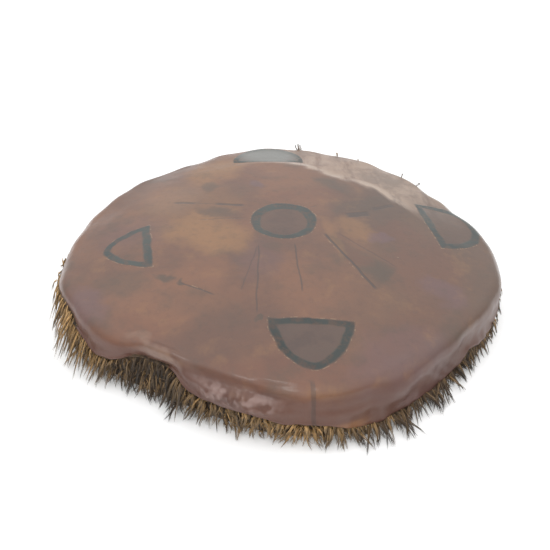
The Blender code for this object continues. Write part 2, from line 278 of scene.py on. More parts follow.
STAINS_AND_HIGHLIGHT = (  # middle, length, width, turn in degrees, colour, strength
    ((-0.08, -0.025), 0.064, 0.04, -20, TAN, 0.7),
    # Painted highlight: a pale streak along the crest above the front-left hollow.
    ((-0.106, -0.186), 0.036, 0.009, -30, PALE, 0.3),
    ((0.14, -0.07), 0.07, 0.05, 80, RUST, 0.45),
    ((-0.085, 0.13), 0.06, 0.04, 60, TAN, 0.7),
    ((-0.11, 0.03), 0.08, 0.06, 30, TAN, 0.3),
    ((-0.14, 0.06), 0.05, 0.06, 30, PALE, 0.1),
    ((0.075, -0.01), 0.034, 0.02, -40, TAN, 0.45),
    ((0.12, -0.01), 0.036, 0.024, 10, RUST, 0.45),
    ((0.052, -0.03), 0.05, 0.01, -72, TAN, 0.35),
    ((-0.054, 0.11), 0.05, 0.03, 0, RUST, 0.4),
    ((-0.06, -0.141), 0.05, 0.022, -20, SMOKE_AND_SHADE, 0.15),
    ((-0.134, -0.165), 0.07, 0.022, -30, RUST, 0.35),
    ((0.02, -0.205), 0.15, 0.02, 5, RUST, 0.5),
    ((-0.091, 0.08), 0.018, 0.012, 80, SMOKE_AND_SHADE, 0.6),
    ((-0.034, 0.084), 0.012, 0.012, 0, PLUM, 0.7),
    ((0.06, 0.09), 0.034, 0.02, -30, SMOKE_AND_SHADE, 0.6),
    ((0.088, 0.04), 0.044, 0.022, 20, SMOKE_AND_SHADE, 0.45),
    ((0.101, -0.024), 0.016, 0.014, 20, PLUM, 0.7),
    ((0.151, -0.104), 0.03, 0.022, -40, PLUM, 0.6),
    ((0.148, -0.152), 0.022, 0.016, 10, SMOKE_AND_SHADE, 0.45),
    ((0.104, -0.184), 0.06, 0.034, 25, PLUM, 0.55),
    ((0.12, -0.15), 0.07, 0.03, 30, RUST, 0.35),
    ((-0.154, -0.101), 0.036, 0.02, -15, SMOKE_AND_SHADE, 0.4),
    ((-0.18, -0.128), 0.03, 0.024, -40, PLUM, 0.6),
    ((-0.16, -0.02), 0.05, 0.04, 0, PLUM, 0.3),
    ((-0.076, 0.015), 0.03, 0.012, -4, SMOKE_AND_SHADE, 0.5),
    ((-0.111, -0.098), 0.012, 0.006, -20, SMOKE_AND_SHADE, 0.8),
    ((0.092, -0.082), 0.026, 0.018, -55, SMOKE_AND_SHADE, 0.7),
    ((0.078, -0.06), 0.024, 0.01, -60, RUST, 0.7),
    ((-0.0245, -0.148), 0.004, 0.004, 0, SMOKE_AND_SHADE, 0.8),
    ((-0.096, -0.105), 0.004, 0.003, 0, SMOKE_AND_SHADE, 0.8),
    ((-0.02, -0.07), 0.04, 0.03, 80, PLUM, 0.35),
    ((0.02, 0.06), 0.06, 0.022, 10, RUST, 0.35),
)


def roundness(bearing):
    """How far out the drum's outline is at a bearing in radians, as a share of its mean radius."""
    share = 1.0
    for waves, depth, crest in OUTLINE_WAVES:
        share = share + depth * np.cos(waves * (bearing - math.radians(crest)))
    return share


def find_hub():
    """Where the outline's own centre lies, when the origin is the middle of the hair's box."""
    turn = np.radians(np.arange(0, 360, OUTLINE_STEP))
    reach = (MEAN_RADIUS + HAIR_REACH) * roundness(turn)
    across = reach * np.cos(turn)
    along = reach * np.sin(turn)
    middle_across = (across.min() + across.max()) / 2
    middle_along = (along.min() + along.max()) / 2
    return Vector((-middle_across, -middle_along, 0.0))


HUB = find_hub()
PAINT_CENTRE = HUB + PAINT_OFFSET


def dome_height(radius):
    """Height of the head's outer face at a mean radius."""
    return HEAD_HEIGHT - DOME_RISE * (radius / MEAN_RADIUS) ** DOME_POWER


EDGE_CENTRE_HEIGHT = float(dome_height(EDGE_CENTRE)) - EDGE_RADIUS


def turned_away(bearing, middle):
    """Degrees from a middle bearing, either way round."""
    return (np.degrees(bearing) - middle + 180.0) % 360.0 - 180.0


def hump(away, half_width):
    """1 in the middle and 0 outside, with a flat top and steep soft flanks."""
    return np.exp(-((away / half_width) ** 4))


def ripples(across, along, size, seed):
    """Smooth uneven waves of about one size over a surface, from about -1 to 1."""
    rng = np.random.default_rng(seed)
    total = np.zeros(np.broadcast(across, along).shape)
    for _ in range(WAVE_COUNT):
        angle = rng.uniform(0, 2 * math.pi)
        length = size * rng.uniform(*WAVE_LENGTHS)
        phase = rng.uniform(0, 2 * math.pi)
        total += np.sin((across * math.cos(angle) + along * math.sin(angle)) * 2 * math.pi / length + phase)
    return total / math.sqrt(WAVE_COUNT)


def read_round(table, bearing, column=1):
    """A column of a table that runs round the drum, read at bearings in radians."""
    places = [row[0] for row in table]
    values = [row[column] for row in table]
    return np.interp(np.degrees(bearing), places, values, period=360.0)


def hairline(bearing):
    """Height on the skirt where the bare hide ends and its hair begins."""
    depth, length = HAIRLINE_WANDER
    uneven = depth * ripples(bearing * MEAN_RADIUS, 0.0 * bearing, length, SEED + 1)
    return read_round(HAIRLINE, bearing) + uneven


def patch(place, bearing, level):
    """1 in the middle of a patch and 0 away from it. The level is a height on the skirt or a radius."""
    middle, half_width, middle_level, half_height = place
    return hump(turned_away(bearing, middle), half_width) * hump(level - middle_level, half_height)


def dent_depth(bearing, height):
    """How far the skirt is pushed in at a bearing and height."""
    depth = 0.0 * bearing * height
    for *place, push in DENTS:
        depth = depth + push * patch(place, bearing, height)
    return depth


def facet_drop(bearing, radius):
    """How far the head falls below its dome past the crease at its back."""
    past = radius - read_round(CREASE, bearing)
    steep = read_round(CREASE, bearing, 3) * np.clip(past, 0.0, BEVEL_WIDTH)
    gentle = read_round(CREASE, bearing, 2) * 0.5 * (past + np.sqrt(past * past + CREASE_SOFTNESS**2))
    return steep + gentle


def facet_share(bearing, radius):
    """How strongly a place on the head has the painted pale glare of the facet at its back, from 0 to 1."""
    past = radius - read_round(CREASE, bearing)
    begun = np.clip(past / FACET_EDGE, 0.0, 1.0)
    near = np.clip(FACET_HOLD - past / BEVEL_WIDTH, 0.0, 1.0)
    steep = np.clip(read_round(CREASE, bearing, 3) / FACET_SLOPE, 0.0, 1.0)
    return begun * (FACET_FAR + (1.0 - FACET_FAR) * near) * steep


def form(bearing, radius, height, push=0.0, lift=0.0):
    """Points of one ring, from mean radius and height, with the drum's outline and its settled back."""
    reach = radius * roundness(bearing) + push
    across = HUB.x + reach * np.cos(bearing)
    along = HUB.y + reach * np.sin(bearing)
    settled = height - facet_drop(bearing, radius) * np.clip(height / EDGE_CENTRE_HEIGHT, 0.0, 1.0) + lift
    return np.stack([across, along, settled + 0.0 * bearing], axis=1)


def hide_rows(bearing):
    """The rings of the hide's closed surface, and how many of them come before it turns back inside.

    Each ring has a radius, a height and how far out and up it faces. They run from the middle of the head
    out, down the skirt, under the foot to the edge of the hem, and back inside. A ring that faces neither
    out nor up is one that the creases leave alone.
    """
    coarse = np.arange(HEAD_STEP, FINE_FROM, HEAD_STEP)
    fine = np.arange(FINE_FROM, EDGE_CENTRE - RING_GAP, FINE_STEP)
    rows = [(radius, dome_height(radius), 0.0, 1.0) for radius in np.concatenate([coarse, fine])]
    for angle in np.radians(np.linspace(90.0, 0.0, EDGE_RINGS)):
        radius = EDGE_CENTRE + EDGE_RADIUS * math.cos(angle)
        height = EDGE_CENTRE_HEIGHT + EDGE_RADIUS * math.sin(angle)
        rows.append((radius, height, math.cos(angle), math.sin(angle)))
    line = np.minimum(hairline(bearing), EDGE_CENTRE_HEIGHT - RING_GAP)
    for share in np.linspace(0.0, 1.0, WALL_RINGS + 1)[1:]:
        height = EDGE_CENTRE_HEIGHT + (line - EDGE_CENTRE_HEIGHT) * share
        rows.append((MEAN_RADIUS + LIP_FLARE * share**4, height, 1.0, 0.0))
    for past, below in LIP:
        rows.append((MEAN_RADIUS + past, line - below, 1.0, 0.0))
    wall = MEAN_RADIUS - SKIRT_LEAN
    wall_top = np.maximum(line - UNDER_HAIR_TOP, FOOT_RADIUS + RING_GAP)
    for share in np.linspace(0.0, 1.0, UNDER_HAIR_RINGS):
        height = wall_top * (1.0 - share) + FOOT_RADIUS * share
        rows.append((wall, height, 1.0, 0.0))
    for angle in np.radians(np.linspace(0.0, -90.0, FOOT_RINGS)[1:]):
        radius = FOOT_CENTRE + FOOT_RADIUS * math.cos(angle)
        rows.append((radius, FOOT_RADIUS + FOOT_RADIUS * math.sin(angle), 0.0, 0.0))
    hem = [FOOT_CENTRE - REST_WIDTH / 2, FOOT_CENTRE - REST_WIDTH]
    hem += [HEM_SLOT_OUTER, HEM_SLOT_INNER, HEM_EDGE]
    rows += [(radius, hem_height(radius), 0.0, 0.0) for radius in hem]
    turn = len(rows)
    inside = HIDE_THICKNESS
    rows += [(radius, hem_height(radius) + inside, 0.0, 0.0) for radius in reversed(hem[2:])]
    rows.append((hem[1], inside, 0.0, 0.0))
    rows.append((FOOT_CENTRE, inside, 0.0, 0.0))
    rows.append((wall - inside, FOOT_RADIUS, 0.0, 0.0))
    for height in np.linspace(INNER_WALL_FOOT, EDGE_CENTRE_HEIGHT, INNER_WALL_RINGS):
        rows.append((MEAN_RADIUS - inside - INNER_WALL_ROOM, height, 1.0, 0.0))
    for angle in np.radians(np.linspace(0.0, 90.0, EDGE_RINGS)[1:]):
        radius = EDGE_CENTRE + (EDGE_RADIUS - inside) * math.cos(angle)
        height = EDGE_CENTRE_HEIGHT + (EDGE_RADIUS - inside) * math.sin(angle)
        rows.append((radius, height, math.cos(angle), math.sin(angle)))
    rows += [(radius, dome_height(radius) - inside, 0.0, 1.0) for radius in INNER_HEAD_RADII]
    return rows, turn


def hem_height(radius):
    """Height of the hem's underside: flat where it rests, then rising to its edge."""
    rest_inner = FOOT_CENTRE - REST_WIDTH
    return HEM_LIFT * max(0.0, rest_inner - radius) / HEM_WIDTH


def crease_hide(bearing, radius, height, out, up, inner):
    """How far the hide stands off its plain form: puckers, dents and ridges."""
    across = radius * np.cos(bearing)
    along = radius * np.sin(bearing)
    drawn = np.clip((radius - CALM_RADIUS) / CALM_FADE, 0.0, 1.0)
    stand = HEAD_RIPPLE[0] * ripples(across, along, HEAD_RIPPLE[1], SEED + 2) * (CALM_SHARE + drawn)
    arc = bearing * MEAN_RADIUS
    on_edge = hump(radius - MEAN_RADIUS, EDGE_ZONE)
    low = np.clip((PUCKER_TOP - height) / PUCKER_FADE, 0.0, 1.0)
    pucker = EDGE_PUCKER[0] * ripples(arc, height * 0.35, EDGE_PUCKER[1], SEED + 4) * low
    swell = EDGE_SWELL[0] * ripples(arc, height * 0.8, EDGE_SWELL[1], SEED + 5)
    stand = stand + on_edge * (pucker + swell)
    if not inner:
        folds = np.maximum(ripples(arc, height * 0.6, SCUFF_FOLD[1], SEED + 7), FOLD_FLOOR)
        stand = stand + SCUFF_FOLD[0] * patch(PUCKER_PATCH, bearing, height) * folds
    stand = stand - dent_depth(bearing, height) * np.clip((radius - DENT_RADIUS) / DENT_FADE, 0.0, 1.0)
    if up > 0.0:
        for *place, rise in RIDGES:
            stand = stand + rise * patch(place, bearing, radius)
    return stand * (1.0 if out + up > 0 else 0.0)


def slot_steps():
    """Which steps round the hem fall in a lacing slot."""
    bearings = 2 * math.pi * (np.arange(AROUND) + 0.5) / AROUND
    half = math.degrees(SLOT_WIDTH / 2 / SLOT_RADIUS)
    cut = np.zeros(AROUND, dtype=bool)
    for number in range(SLOT_COUNT):
        middle = FIRST_SLOT_BEARING + number * 360.0 / SLOT_COUNT
        cut |= np.abs(turned_away(bearings, middle)) < half
    return cut


def strip_faces(ring, after, around):
    """The faces between two rings of points, as rows of four point numbers."""
    step = np.arange(around)
    ahead = (step + 1) % around
    low = ring * around
    high = after * around
    return np.stack([low + step, high + step, high + ahead, low + ahead], axis=1)


def make_hide():
    """The whole skin as one closed surface: head, edge, skirt with its creases, foot and slotted hem."""
    bearing = np.linspace(0, 2 * math.pi, AROUND, endpoint=False)
    rings = []
    radii = []
    marks = []
    rows, turn = hide_rows(bearing)
    for number, (radius, height, out, up) in enumerate(rows):
        inner = 1.0 if number >= turn else 0.0
        over = HIDE_THICKNESS * inner
        stand = crease_hide(bearing, radius + over * out, height + over * up, out, up, inner)
        rings.append(form(bearing, radius, height, stand * out, stand * up))
        radii.append(radius)
        facet = facet_share(bearing, radius) * up
        furred = np.where(height < hairline(bearing) - RING_GAP, 1.0 - inner, 0.0)
        pucker_glint = patch(PUCKER_PATCH, bearing, height)
        amber = patch(AMBER, bearing, height)
        marks.append((facet, furred, pucker_glint, amber, np.full(AROUND, inner)))
    count = len(rings)
    middle = HEAD_HEIGHT - facet_drop(0.0, 0.0)
    points = np.concatenate(rings + [[[HUB.x, HUB.y, middle], [HUB.x, HUB.y, middle - HIDE_THICKNESS]]])
    step = np.arange(AROUND)
    ahead = (step + 1) % AROUND
    cut = slot_steps()
    slot_edges = {HEM_SLOT_OUTER, HEM_SLOT_INNER}
    slotted = [ring for ring in range(count - 1) if {radii[ring], radii[ring + 1]} == slot_edges]
    faces = []
    for ring in range(count - 1):
        strip = strip_faces(ring, ring + 1, AROUND)
        faces += strip[~cut].tolist() if ring in slotted else strip.tolist()
    faces += slot_walls(slotted, cut)
    top = count * AROUND
    faces += np.stack([np.full(AROUND, top), step, ahead], axis=1).tolist()
    last = (count - 1) * AROUND
    faces += np.stack([np.full(AROUND, top + 1), last + ahead, last + step], axis=1).tolist()
    hide = add_mesh("hide_skin", points.tolist(), faces)
    for label, values in zip(("facet", "furred", "pucker_glint", "amber", "inner"), zip(*marks)):
        middles = (0.0, 1.0) if label == "inner" else (0.0, 0.0)
        keep_values(hide, label, np.concatenate([*values, middles]))
    return hide


def keep_values(piece, label, values):
    """Store one number for each point of a piece, for its material to read."""
    store = piece.data.attributes.new(label, "FLOAT", "POINT")
    store.data.foreach_set("value", values)


def slot_walls(slotted, cut):
    """The sides of the lacing slots, between the hem's lower and upper face."""
    lower, upper = slotted
    low_outer = lower * AROUND
    low_inner = low_outer + AROUND
    high_inner = upper * AROUND
    high_outer = high_inner + AROUND
    walls = []
    for step in np.flatnonzero(cut).tolist():
        ahead = (step + 1) % AROUND
        walls.append((low_outer + step, low_outer + ahead, high_outer + ahead, high_outer + step))
        walls.append((low_inner + ahead, low_inner + step, high_inner + step, high_inner + ahead))
        if not cut[step - 1]:
            walls.append((low_inner + step, low_outer + step, high_outer + step, high_inner + step))
        if not cut[ahead]:
            walls.append((low_outer + ahead, low_inner + ahead, high_inner + ahead, high_outer + ahead))
    return walls


def make_hoop():
    """The bent-wood hoop: a strip on edge that fills the skirt, thinned where the skin is pushed in."""
    bearing = np.linspace(0, 2 * math.pi, HOOP_AROUND, endpoint=False)
    skin = HIDE_THICKNESS + GAP
    inner = MEAN_RADIUS - skin - HOOP_THICKNESS + PEG_SHOWING
    outer = MEAN_RADIUS - skin - SKIRT_LEAN
    rows = []
    corner = EDGE_RADIUS - skin - HOOP_EDGE_ROOM
    for angle in np.radians(np.linspace(HOOP_TOP_TURN, 0.0, HOOP_CORNER_RINGS)):
        radius = EDGE_CENTRE + corner * math.cos(angle)
        rows.append((radius, EDGE_CENTRE_HEIGHT + corner * math.sin(angle), 1.0))
    for height in np.linspace(EDGE_CENTRE_HEIGHT, HOOP_FOOT, HOOP_WALL_RINGS + 1)[1:]:
        rows.append((outer, height, 1.0))
    rows.append((outer - HOOP_ROUNDING, skin, 0.0))
    rows.append((inner + HOOP_ROUNDING, skin, 0.0))
    rows.append((inner, skin + HOOP_ROUNDING, 0.0))
    rows.append((inner, rows[0][1] - HOOP_ROUNDING, 0.0))
    rows.append((inner + HOOP_ROUNDING, rows[0][1], 0.0))
    rings = []
    for radius, height, out in rows:
        dented = dent_depth(bearing, height) + HOOP_DENT_ROOM
        push = -np.clip(dented, 0.0, HOOP_THICKNESS - HOOP_LEAST) * out
        rings.append(form(bearing, radius, height, push))
    faces = []
    for ring in range(len(rings)):
        faces += strip_faces(ring, (ring + 1) % len(rings), HOOP_AROUND).tolist()
    return add_mesh("bent_hoop", np.concatenate(rings).tolist(), faces)


def add_mesh(name, points, faces):
    """An object made from points and faces, in the scene."""
    mesh = bpy.data.meshes.new(name)
    mesh.from_pydata(points, [], faces)
    mesh.validate()
    mesh.shade_smooth()
    mesh.update()
    return add_object(name, mesh)


def add_object(name, data):
    """A new object in the scene."""
    made = bpy.data.objects.new(name, data)
    bpy.context.scene.collection.objects.link(made)
    return made


# The hair along the hem.
LOCKS = 1100
SHORT_HAIRS = 3600
HAIRS_IN_LOCK = 6
CLUMPED = 0.7
CLUMP_STEP = math.radians(2.5)
CLUMP_JITTER = 0.16  # in steps between clumps
CLUMP_SCATTER = 0.12
LEAN_SCATTER = 0.28
LOCK_SIZES = (0.45, 1.15)
SHORT_SIZES = (0.25, 0.6)
LOWEST_ROOT = 0.003
ROOT_MARGIN = 0.0042
ROOT_CROWDING = 0.6  # below 1 crowds long hair near the hairline
SLOW_SWAY = 0.04  # length of the waves that lean the hair to and fro
QUICK_SWAY = 0.018
SWAY = 0.25
LEAST_LENGTH = 0.012
EXTRA_LENGTH = 0.003
HAIR_FALL = (0.45, 1.0)  # how far tips hang below their roots, as a share of the length
TIP_ROOM = 0.0012
CURL = 0.002
CROWN = (0.0005, 0.0035)
CROWN_OUTWARD = 0.4
ROOT_FLOOR = 0.0006
FLOOR_RISE = 0.0003
LOCK_WIDTHS = (0.0004, 0.0011)
ROOT_SPREAD = 0.0008
TIP_SPREAD = 0.0004
UNEVEN_LENGTH = 0.16
LOCK_TONES = 0.4
HAIR_TONES = 0.15
HAIR_RADIUS = 0.0004
HAIR_TAPER = 0.6
HAIR_RINGS = 4
# The share of pale hair is partly the hair's own mixed tone and partly painted light and shade: near none in
# the shaded front-left hollow and along the right front.
HAIR_SPREAD = (  # bearing, how far tips reach past the skirt, lean round to the front, share of pale hair
    (-180, 0.004, 0.2, 0.45),
    (-166, 0.006, 0.3, 0.55),
    (-158, 0.015, 0.7, 0.62),
    (-148, 0.027, 0.6, 0.66),
    (-136, 0.021, 0.5, 0.5),
    (-130, 0.015, 0.4, 0.1),
    (-120, 0.017, 0.2, 0.0),
    (-114, 0.02, 0.2, 0.12),
    (-105, 0.016, 0.1, 0.45),
    (-90, 0.0115, 0.0, 0.8),
    (-80, 0.013, 0.0, 0.65),
    (-72, 0.022, 0.1, 0.28),
    (-62, 0.029, 0.1, 0.02),
    (-54, 0.024, 0.0, -0.05),
    (-46, 0.023, -0.1, -0.05),
    (-40, 0.015, -0.2, 0.0),
    (-30, 0.013, -0.3, 0.15),
    (-18, 0.008, -0.3, 0.4),
    (-6, 0.011, -0.3, 0.4),
    (10, 0.009, 0.0, 0.4),
    (60, 0.011, 0.0, 0.1),
    (120, 0.011, 0.0, 0.1),
    (150, 0.01, 0.0, 0.3),
    (168, 0.004, 0.1, 0.3),
)
STRAY_TUFTS = (  # bearing, length
    (84.6, 0.011),
    (84.0, 0.012),
    (83.4, 0.01),
    (70.0, 0.005),
    (62.0, 0.005),
    (44.0, 0.006),
    (37.0, 0.005),
)
TUFT_HEIGHT = 0.049
TUFT_RADIUS = 0.2205
TUFT_REACH = 0.6
TUFT_LEAN = 0.002
TUFT_RISE = 0.7


def plan_locks(rng):
    """Each lock's bearing, its root's radius and height, its tip's way out, along and up, and its hairs."""
    locks = []
    for number in range(LOCKS + SHORT_HAIRS):
        short = number >= LOCKS
        bearing = 2 * math.pi * rng.uniform(0.0, 1.0)
        scatter = LEAN_SCATTER
        if not short and rng.uniform(0.0, 1.0) < CLUMPED:
            clump = round(bearing / CLUMP_STEP)
            bearing = (clump + rng.normal(0.0, CLUMP_JITTER)) * CLUMP_STEP
            scatter = CLUMP_SCATTER
        line = float(hairline(bearing))
        spread = float(read_round(HAIR_SPREAD, bearing))
        lean = float(read_round(HAIR_SPREAD, bearing, 2))
        crowding = 1.0 if short else ROOT_CROWDING
        root_height = LOWEST_ROOT + (line - ROOT_MARGIN) * rng.uniform(0.0, 1.0) ** crowding
        size = rng.uniform(*SHORT_SIZES) if short else rng.uniform(*LOCK_SIZES)
        slow = float(ripples(bearing * MEAN_RADIUS, 0.0, SLOW_SWAY, SEED + 6))
        quick = float(ripples(bearing * MEAN_RADIUS, 0.0, QUICK_SWAY, SEED + 8))
        lean = lean + SWAY * slow + SWAY * quick + rng.normal(0.0, scatter)
        length = max(spread, LEAST_LENGTH) * size + EXTRA_LENGTH
        down = -min(root_height - TIP_ROOM, length * rng.uniform(*HAIR_FALL))
        root_radius = MEAN_RADIUS - SKIRT_LEAN + GAP
        above = root_height - EDGE_CENTRE_HEIGHT
        if above > 0.0:
            root_radius = EDGE_CENTRE + math.sqrt(EDGE_RADIUS**2 - above**2)
        hairs = 2 if short else HAIRS_IN_LOCK
        locks.append((bearing, root_radius, root_height, spread * size, lean * length, down, hairs))
    for degrees, length in STRAY_TUFTS:
        tip = (length * TUFT_REACH, TUFT_LEAN, length * TUFT_RISE)
        locks.append((math.radians(degrees), TUFT_RADIUS, TUFT_HEIGHT, *tip, HAIRS_IN_LOCK))
    return locks


def lock_lines(rng, bearing, root_radius, root_height, out, along, down, hairs):
    """The line of each hair in one lock, from the skirt to a shared tip."""
    outward = np.array([math.cos(bearing), math.sin(bearing), 0.0])
    around = np.array([-math.sin(bearing), math.cos(bearing), 0.0])
    upward = np.array([0.0, 0.0, 1.0])
    inset = float(dent_depth(bearing, root_height))
    start = form(np.array([bearing]), root_radius, root_height, -inset)[0]
    tip = start + outward * out + around * along + upward * down
    curl = rng.normal(0.0, CURL)
    crown = rng.uniform(*CROWN)
    width = rng.uniform(*LOCK_WIDTHS)
    lines = []
    for _ in range(hairs):
        root = start + around * rng.normal(0.0, width) + upward * rng.normal(0.0, ROOT_SPREAD)
        end = tip + around * rng.normal(0.0, TIP_SPREAD) + upward * rng.normal(0.0, TIP_SPREAD)
        end = end + (root - tip) * abs(rng.normal(0.0, UNEVEN_LENGTH))
        points = []
        for ring in range(HAIR_RINGS + 1):
            share = ring / HAIR_RINGS
            arch = math.sin(math.pi * share)
            point = root + (end - root) * share + around * curl * arch + upward * crown * arch
            point = point + outward * CROWN_OUTWARD * crown * arch
            point[2] = max(point[2], ROOT_FLOOR + FLOOR_RISE * share)
            points.append(point)
        lines.append(points)
    return lines


def hair_faces():
    """The faces of one hair, as numbers of points counted from its first."""
    faces = [(0, 1, 2)]
    for low in range(0, 3 * HAIR_RINGS, 3):
        for corner in range(3):
            after = (corner + 1) % 3
            if low < 3 * (HAIR_RINGS - 1):
                faces.append((low + corner, low + 3 + corner, low + 3 + after, low + after))
            else:
                faces.append((low + corner, low + 3, low + after))
    return faces


def make_hair(name, locks, rng):
    """One stretch of the hair margin: tapered three-sided hairs, their points marked from root to tip."""
    points = []
    faces = []
    along_values = []
    tone_values = []
    pattern = hair_faces()
    for lock in locks:
        # Paler locks where the margin is lit and darker ones in its shade: painted light and shade on top of
        # the hair's own tone.
        pale = float(read_round(HAIR_SPREAD, lock[0], 3))
        lock_tone = pale + rng.uniform(-LOCK_TONES, LOCK_TONES)
        for line in lock_lines(rng, *lock):
            tone = min(1.0, max(0.0, lock_tone + rng.normal(0.0, HAIR_TONES)))
            first = len(points)
            direction = line[-1] - line[0]
            side = np.cross(direction, np.array([0.0, 0.0, 1.0]))
            side = side / (np.linalg.norm(side) + 1e-9)
            over = np.cross(side, direction)
            over = over / (np.linalg.norm(over) + 1e-9)
            for ring in range(HAIR_RINGS):
                share = ring / HAIR_RINGS
                thick = HAIR_RADIUS * (1.0 - HAIR_TAPER * share)
                for corner in range(3):
                    angle = 2 * math.pi * corner / 3 + 0.5
                    out = side * math.cos(angle) + over * math.sin(angle)
                    points.append(tuple(line[ring] + thick * out))
                    along_values.append(share)
            points.append(tuple(line[-1]))
            along_values.append(1.0)
            tone_values += [tone] * (len(points) - first)
            faces += [tuple(first + point for point in face) for face in pattern]
    hair = add_mesh(name, points, faces)
    keep_values(hair, "along", along_values)
    keep_values(hair, "tone", tone_values)
    return hair


class Look:
    """A node material, built by short calls that each return a socket."""

    def __init__(self, name):
        self.material = bpy.data.materials.new(name)
        self.material.use_nodes = True
        self.tree = self.material.node_tree
        self.shader = self.tree.nodes["Principled BSDF"]

    def feed(self, socket, value):
        if isinstance(value, bpy.types.NodeSocket):
            self.tree.links.new(value, socket)
        elif isinstance(value, (tuple, list)) and socket.type == "RGBA":
            socket.default_value = (*value[:3], 1.0)
        else:
            socket.default_value = value

    def add(self, kind, inputs, output=0, **settings):
        node = self.tree.nodes.new(kind)
        for label, value in settings.items():
            setattr(node, label, value)
        for label, value in inputs.items():
            self.feed(node.inputs[label], value)
        return node.outputs[output]

    def calc(self, operation, *values):
        return self.add("ShaderNodeMath", dict(enumerate(values)), operation=operation)

    def times(self, first, second):
        return self.calc("MULTIPLY", first, second)

    def vector(self, operation, *values, output=0):
        return self.add("ShaderNodeVectorMath", dict(enumerate(values)), output, operation=operation)

    def dot(self, first, second):
        return self.vector("DOT_PRODUCT", first, second, output="Value")

    def away(self, spot, start):
        return self.vector("SUBTRACT", spot, (*start, 0.0))

    def place(self):
        return self.add("ShaderNodeTexCoord", {}, "Object")

    def attribute(self, name):
        return self.add("ShaderNodeAttribute", {}, "Fac", attribute_name=name)

    def part(self, vector, axis):
        return self.add("ShaderNodeSeparateXYZ", {0: vector}, axis)

    def noise(self, vector, scale, detail=3.0, roughness=0.5, output="Fac"):
        inputs = {"Vector": vector, "Scale": scale, "Detail": detail, "Roughness": roughness}
        return self.add("ShaderNodeTexNoise", inputs, output)

    def rise(self, value, low, high):
        """0 at low, 1 at high and a smooth step between. low may be the larger."""
        inputs = {"Value": value, "From Min": low, "From Max": high}
        return self.add("ShaderNodeMapRange", inputs, interpolation_type="SMOOTHSTEP", clamp=True)

    def mix(self, share, first, second):
        node = self.tree.nodes.new("ShaderNodeMix")
        node.data_type = "RGBA"
        self.feed(node.inputs["Factor"], share)
        self.feed(node.inputs[6], first)
        self.feed(node.inputs[7], second)
        return node.outputs[2]

    def bump(self, height, distance):
        return self.add("ShaderNodeBump", {"Height": height, "Distance": distance})

    def set(self, label, value):
        self.feed(self.shader.inputs[label], value)


def stroke_mask(look, spot, start, end, width, soft):
    """1 on a stroke from start to end, in metres from the pattern's centre."""
    run = Vector(end) - Vector(start)
    length = run.length
    run.normalize()
    away = look.away(spot, start)
    along = look.dot(away, (run.x, run.y, 0.0))
    beside = look.calc("ABSOLUTE", look.dot(away, (-run.y, run.x, 0.0)))
    on = look.rise(beside, width / 2 + soft, width / 2 - soft)
    begun = look.rise(along, -soft, STROKE_TAPER)
    ended = look.rise(along, length + soft, length - STROKE_TAPER)
    return look.times(look.times(on, begun), ended)


def wedge_mask(look, spot, corners):
    """1 inside a triangle whose corners run anticlockwise."""
    inside = None
    for number, start in enumerate(corners):
        run = (Vector(corners[(number + 1) % 3]) - Vector(start)).normalized()
        away = look.away(spot, start)
        depth = look.dot(away, (-run.y, run.x, 0.0))
        inside = depth if inside is None else look.calc("MINIMUM", inside, depth)
    return look.rise(inside, -0.0015, 0.003)


def oval_mask(look, spot, middle, length, width, turn):
    """1 in the middle of an oval patch, fading to 0 past its edge."""
    angle = math.radians(turn)
    away = look.away(spot, middle)
    run = (math.cos(angle) * 2 / length, math.sin(angle) * 2 / length, 0.0)
    beside = (-math.sin(angle) * 2 / width, math.cos(angle) * 2 / width, 0.0)
    along = look.dot(away, run)
    across = look.dot(away, beside)
    size = look.calc("ADD", look.times(along, along), look.times(across, across))
    return look.rise(size, 1.9, 0.1)


def lobe_distance(look, spot, middle, bearing, half_width, depth, end_power):
    """About how far outside a lobe with one flat side, negative inside it."""
    angle = math.radians(bearing)
    away = look.away(spot, middle)
    out = look.dot(away, (math.cos(angle), math.sin(angle), 0.0))
    aside = look.dot(away, (-math.sin(angle), math.cos(angle), 0.0))
    u = look.calc("MAXIMUM", look.calc("ABSOLUTE", look.calc("DIVIDE", aside, half_width)), 0.001)
    v = look.calc("MAXIMUM", look.calc("DIVIDE", out, depth), 0.001)
    total = look.calc("ADD", look.calc("POWER", u, end_power), look.calc("POWER", v, end_power))
    size = look.calc("POWER", total, 1.0 / end_power)
    steep_u = look.calc("DIVIDE", u, half_width)
    steep_v = look.calc("DIVIDE", v, depth)
    steep = look.calc("ADD", look.times(steep_u, steep_u), look.times(steep_v, steep_v))
    steep = look.calc("MAXIMUM", look.calc("SQRT", steep), 0.5)
    curved = look.calc("DIVIDE", look.times(look.calc("SUBTRACT", size, 1.0), size), steep)
    return look.calc("SMOOTH_MAX", curved, look.times(out, -1.0), 0.003)


